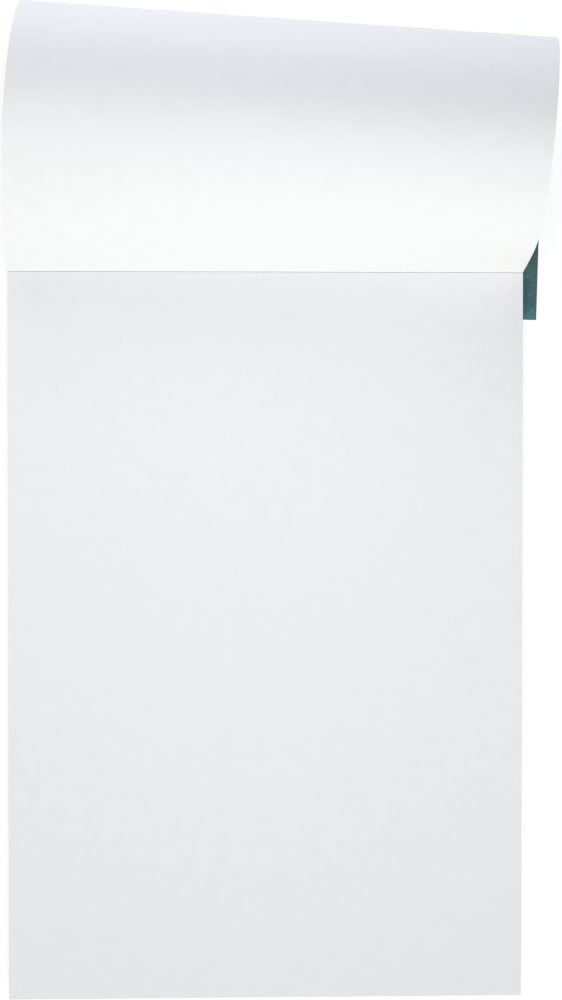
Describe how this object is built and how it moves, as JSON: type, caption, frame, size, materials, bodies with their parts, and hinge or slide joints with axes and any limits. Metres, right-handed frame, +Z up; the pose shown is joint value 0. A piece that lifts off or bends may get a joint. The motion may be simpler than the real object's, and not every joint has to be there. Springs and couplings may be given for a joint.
{
  "type": "bristol paper pad",
  "caption": "Head-glued drawing pad lying open: plain sheets on a stiff board, the card cover turned over the head edge, rolled and tucked under the pad.",
  "frame": {"origin": "on the surface that the pad lies on, straight below the middle of the bound head edge", "axes": "+Y from the foot of the sheets to the bound head edge, +X to the right along the head edge, +Z up out of the drawing face"},
  "size_m": [0.2187, 0.4011, 0.0876],
  "materials": {
    "paper": "smooth uncoated white bristol",
    "greyboard": "raw recycled greyboard",
    "padding_glue": "dried milky padding glue",
    "cover_card": "white card, its outer side printed a mottled dark teal"
  },
  "bodies": {
    "root": {"paper_block": "paper", "backing_board": "greyboard", "binding_glue": "padding_glue", "cover": "cover_card"}
  },
  "joints": []
}
